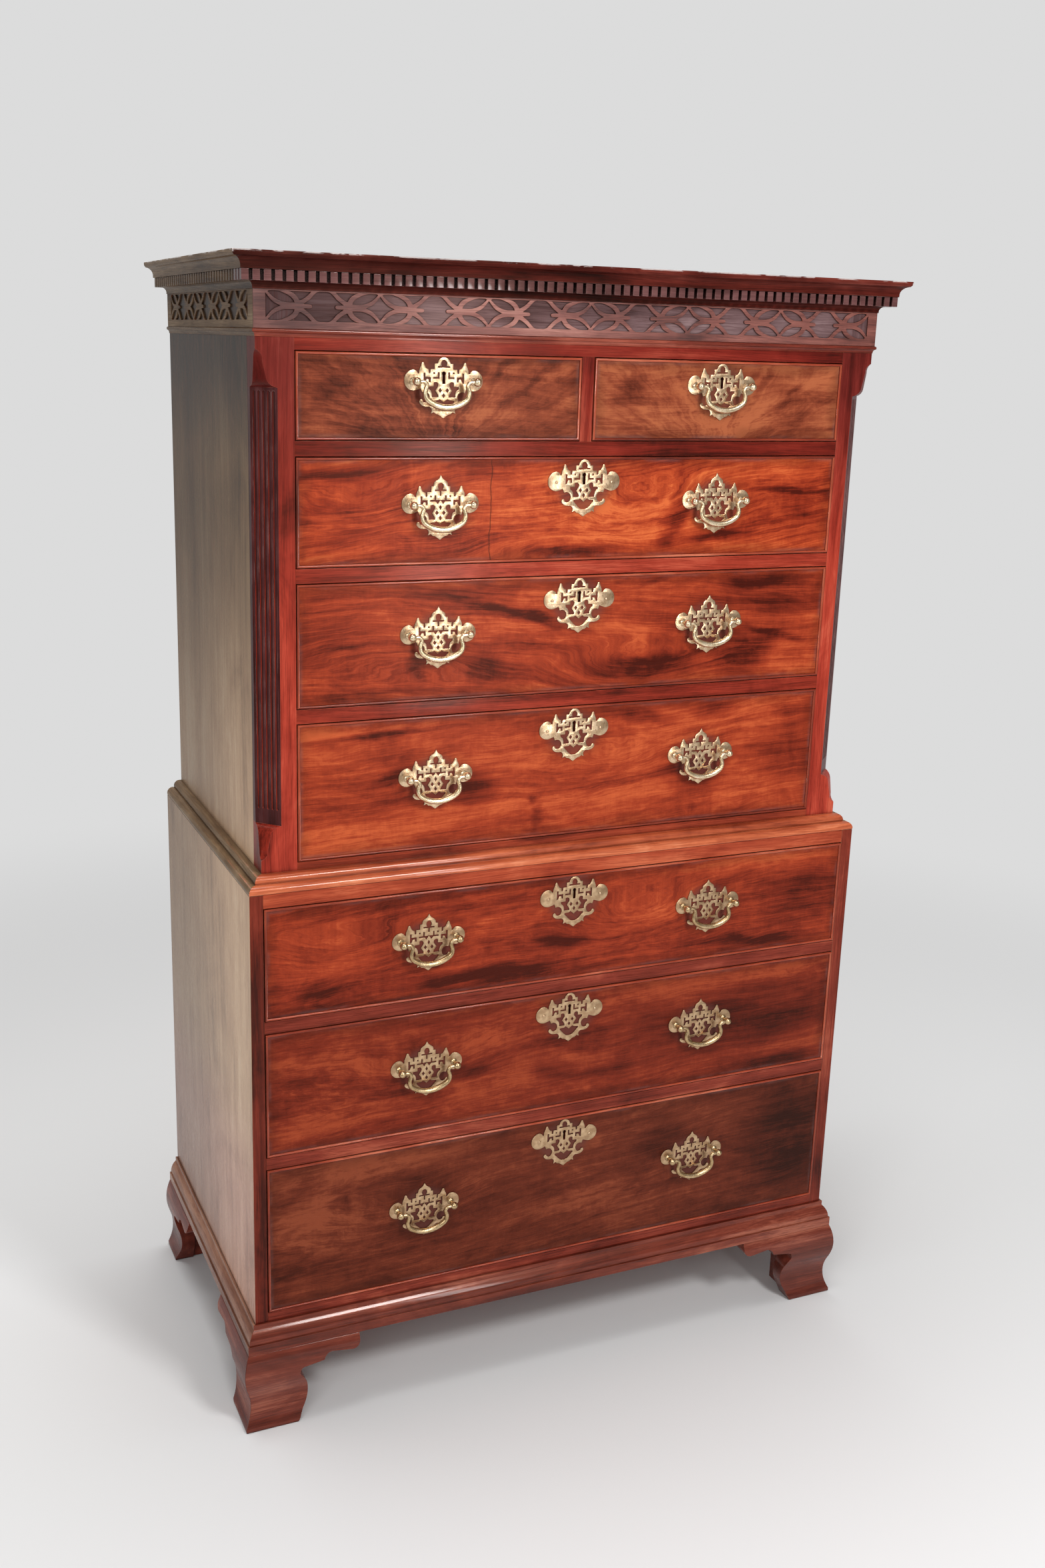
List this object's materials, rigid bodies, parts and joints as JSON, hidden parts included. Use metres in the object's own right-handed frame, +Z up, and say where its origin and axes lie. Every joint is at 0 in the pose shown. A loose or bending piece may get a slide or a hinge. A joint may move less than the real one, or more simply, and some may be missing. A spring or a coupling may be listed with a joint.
{
  "type": "chest on chest",
  "caption": "Tall mahogany double chest of drawers with bracket feet, canted fluted corners, fret frieze, dentil cornice and pierced brass handles.",
  "frame": {"origin": "on the floor under the middle of the bounding box", "axes": "+Z up, +X to the viewer's right, the drawers open towards -Y"},
  "size_m": [1.1282, 0.6041, 1.83],
  "materials": {
    "mahogany": "polished, aged",
    "mahogany_veneer": "figured veneer, polished",
    "oak": "bare, planed",
    "pine": "bare, darkened with age",
    "brass": "cast and polished"
  },
  "bodies": {
    "carcase": {"lower_sides": "mahogany", "lower_top": "mahogany", "lower_bottom": "pine", "base_frame": "pine", "lower_back": "pine", "lower_dividers": "mahogany", "base_moulding": "mahogany", "waist_moulding": "mahogany", "front_feet": "mahogany", "rear_feet": "mahogany", "upper_sides": "mahogany", "upper_top": "pine", "upper_bottom": "pine", "upper_back": "pine", "upper_dividers": "mahogany", "corner_posts": "mahogany", "astragal": "mahogany", "cornice": "mahogany", "dentils": "mahogany", "frieze_fret": "mahogany"},
    "short_drawer_left": {"short_drawer_left_front": "mahogany_veneer", "short_drawer_left_box": "oak", "short_drawer_left_brass": "brass"},
    "short_drawer_left_bail": {"short_drawer_left_bail": "brass"},
    "short_drawer_right": {"short_drawer_right_front": "mahogany_veneer", "short_drawer_right_box": "oak", "short_drawer_right_brass": "brass"},
    "short_drawer_right_bail": {"short_drawer_right_bail": "brass"},
    "upper_drawer_top": {"upper_drawer_top_front": "mahogany_veneer", "upper_drawer_top_box": "oak", "upper_drawer_top_brass": "brass"},
    "upper_drawer_top_bail_left": {"upper_drawer_top_bail_left": "brass"},
    "upper_drawer_top_bail_right": {"upper_drawer_top_bail_right": "brass"},
    "upper_drawer_middle": {"upper_drawer_middle_front": "mahogany_veneer", "upper_drawer_middle_box": "oak", "upper_drawer_middle_brass": "brass"},
    "upper_drawer_middle_bail_left": {"upper_drawer_middle_bail_left": "brass"},
    "upper_drawer_middle_bail_right": {"upper_drawer_middle_bail_right": "brass"},
    "upper_drawer_bottom": {"upper_drawer_bottom_front": "mahogany_veneer", "upper_drawer_bottom_box": "oak", "upper_drawer_bottom_brass": "brass"},
    "upper_drawer_bottom_bail_left": {"upper_drawer_bottom_bail_left": "brass"},
    "upper_drawer_bottom_bail_right": {"upper_drawer_bottom_bail_right": "brass"},
    "lower_drawer_top": {"lower_drawer_top_front": "mahogany_veneer", "lower_drawer_top_box": "oak", "lower_drawer_top_brass": "brass"},
    "lower_drawer_top_bail_left": {"lower_drawer_top_bail_left": "brass"},
    "lower_drawer_top_bail_right": {"lower_drawer_top_bail_right": "brass"},
    "lower_drawer_middle": {"lower_drawer_middle_front": "mahogany_veneer", "lower_drawer_middle_box": "oak", "lower_drawer_middle_brass": "brass"},
    "lower_drawer_middle_bail_left": {"lower_drawer_middle_bail_left": "brass"},
    "lower_drawer_middle_bail_right": {"lower_drawer_middle_bail_right": "brass"},
    "lower_drawer_bottom": {"lower_drawer_bottom_front": "mahogany_veneer", "lower_drawer_bottom_box": "oak", "lower_drawer_bottom_brass": "brass"},
    "lower_drawer_bottom_bail_left": {"lower_drawer_bottom_bail_left": "brass"},
    "lower_drawer_bottom_bail_right": {"lower_drawer_bottom_bail_right": "brass"}
  },
  "joints": [
    {"name": "short_drawer_left_slide", "type": "slide", "parent": "carcase", "child": "short_drawer_left", "axis": [0, -1, 0], "range_m": [0, 0.4]},
    {"name": "short_drawer_left_bail_swing", "type": "hinge", "parent": "short_drawer_left", "child": "short_drawer_left_bail", "pos_m": [-0.23412, -0.2686, 1.6614], "axis": [-1, 0, 0], "range_deg": [0, 175]},
    {"name": "short_drawer_right_slide", "type": "slide", "parent": "carcase", "child": "short_drawer_right", "axis": [0, -1, 0], "range_m": [0, 0.4]},
    {"name": "short_drawer_right_bail_swing", "type": "hinge", "parent": "short_drawer_right", "child": "short_drawer_right_bail", "pos_m": [0.23412, -0.2686, 1.6614], "axis": [-1, 0, 0], "range_deg": [0, 175]},
    {"name": "upper_drawer_top_slide", "type": "slide", "parent": "carcase", "child": "upper_drawer_top", "axis": [0, -1, 0], "range_m": [0, 0.4]},
    {"name": "upper_drawer_top_bail_left_swing", "type": "hinge", "parent": "upper_drawer_top", "child": "upper_drawer_top_bail_left", "pos_m": [-0.236, -0.2686, 1.4846], "axis": [-1, 0, 0], "range_deg": [0, 175]},
    {"name": "upper_drawer_top_bail_right_swing", "type": "hinge", "parent": "upper_drawer_top", "child": "upper_drawer_top_bail_right", "pos_m": [0.236, -0.2686, 1.4846], "axis": [-1, 0, 0], "range_deg": [0, 175]},
    {"name": "upper_drawer_middle_slide", "type": "slide", "parent": "carcase", "child": "upper_drawer_middle", "axis": [0, -1, 0], "range_m": [0, 0.4]},
    {"name": "upper_drawer_middle_bail_left_swing", "type": "hinge", "parent": "upper_drawer_middle", "child": "upper_drawer_middle_bail_left", "pos_m": [-0.236, -0.2686, 1.2893], "axis": [-1, 0, 0], "range_deg": [0, 175]},
    {"name": "upper_drawer_middle_bail_right_swing", "type": "hinge", "parent": "upper_drawer_middle", "child": "upper_drawer_middle_bail_right", "pos_m": [0.236, -0.2686, 1.2893], "axis": [-1, 0, 0], "range_deg": [0, 175]},
    {"name": "upper_drawer_bottom_slide", "type": "slide", "parent": "carcase", "child": "upper_drawer_bottom", "axis": [0, -1, 0], "range_m": [0, 0.4]},
    {"name": "upper_drawer_bottom_bail_left_swing", "type": "hinge", "parent": "upper_drawer_bottom", "child": "upper_drawer_bottom_bail_left", "pos_m": [-0.236, -0.2686, 1.0665], "axis": [-1, 0, 0], "range_deg": [0, 175]},
    {"name": "upper_drawer_bottom_bail_right_swing", "type": "hinge", "parent": "upper_drawer_bottom", "child": "upper_drawer_bottom_bail_right", "pos_m": [0.236, -0.2686, 1.0665], "axis": [-1, 0, 0], "range_deg": [0, 175]},
    {"name": "lower_drawer_top_slide", "type": "slide", "parent": "carcase", "child": "lower_drawer_top", "axis": [0, -1, 0], "range_m": [0, 0.4]},
    {"name": "lower_drawer_top_bail_left_swing", "type": "hinge", "parent": "lower_drawer_top", "child": "lower_drawer_top_bail_left", "pos_m": [-0.253, -0.2946, 0.80825], "axis": [-1, 0, 0], "range_deg": [0, 175]},
    {"name": "lower_drawer_top_bail_right_swing", "type": "hinge", "parent": "lower_drawer_top", "child": "lower_drawer_top_bail_right", "pos_m": [0.253, -0.2946, 0.80825], "axis": [-1, 0, 0], "range_deg": [0, 175]},
    {"name": "lower_drawer_middle_slide", "type": "slide", "parent": "carcase", "child": "lower_drawer_middle", "axis": [0, -1, 0], "range_m": [0, 0.4]},
    {"name": "lower_drawer_middle_bail_left_swing", "type": "hinge", "parent": "lower_drawer_middle", "child": "lower_drawer_middle_bail_left", "pos_m": [-0.253, -0.2946, 0.59075], "axis": [-1, 0, 0], "range_deg": [0, 175]},
    {"name": "lower_drawer_middle_bail_right_swing", "type": "hinge", "parent": "lower_drawer_middle", "child": "lower_drawer_middle_bail_right", "pos_m": [0.253, -0.2946, 0.59075], "axis": [-1, 0, 0], "range_deg": [0, 175]},
    {"name": "lower_drawer_bottom_slide", "type": "slide", "parent": "carcase", "child": "lower_drawer_bottom", "axis": [0, -1, 0], "range_m": [0, 0.4]},
    {"name": "lower_drawer_bottom_bail_left_swing", "type": "hinge", "parent": "lower_drawer_bottom", "child": "lower_drawer_bottom_bail_left", "pos_m": [-0.253, -0.2946, 0.3375], "axis": [-1, 0, 0], "range_deg": [0, 175]},
    {"name": "lower_drawer_bottom_bail_right_swing", "type": "hinge", "parent": "lower_drawer_bottom", "child": "lower_drawer_bottom_bail_right", "pos_m": [0.253, -0.2946, 0.3375], "axis": [-1, 0, 0], "range_deg": [0, 175]}
  ]
}
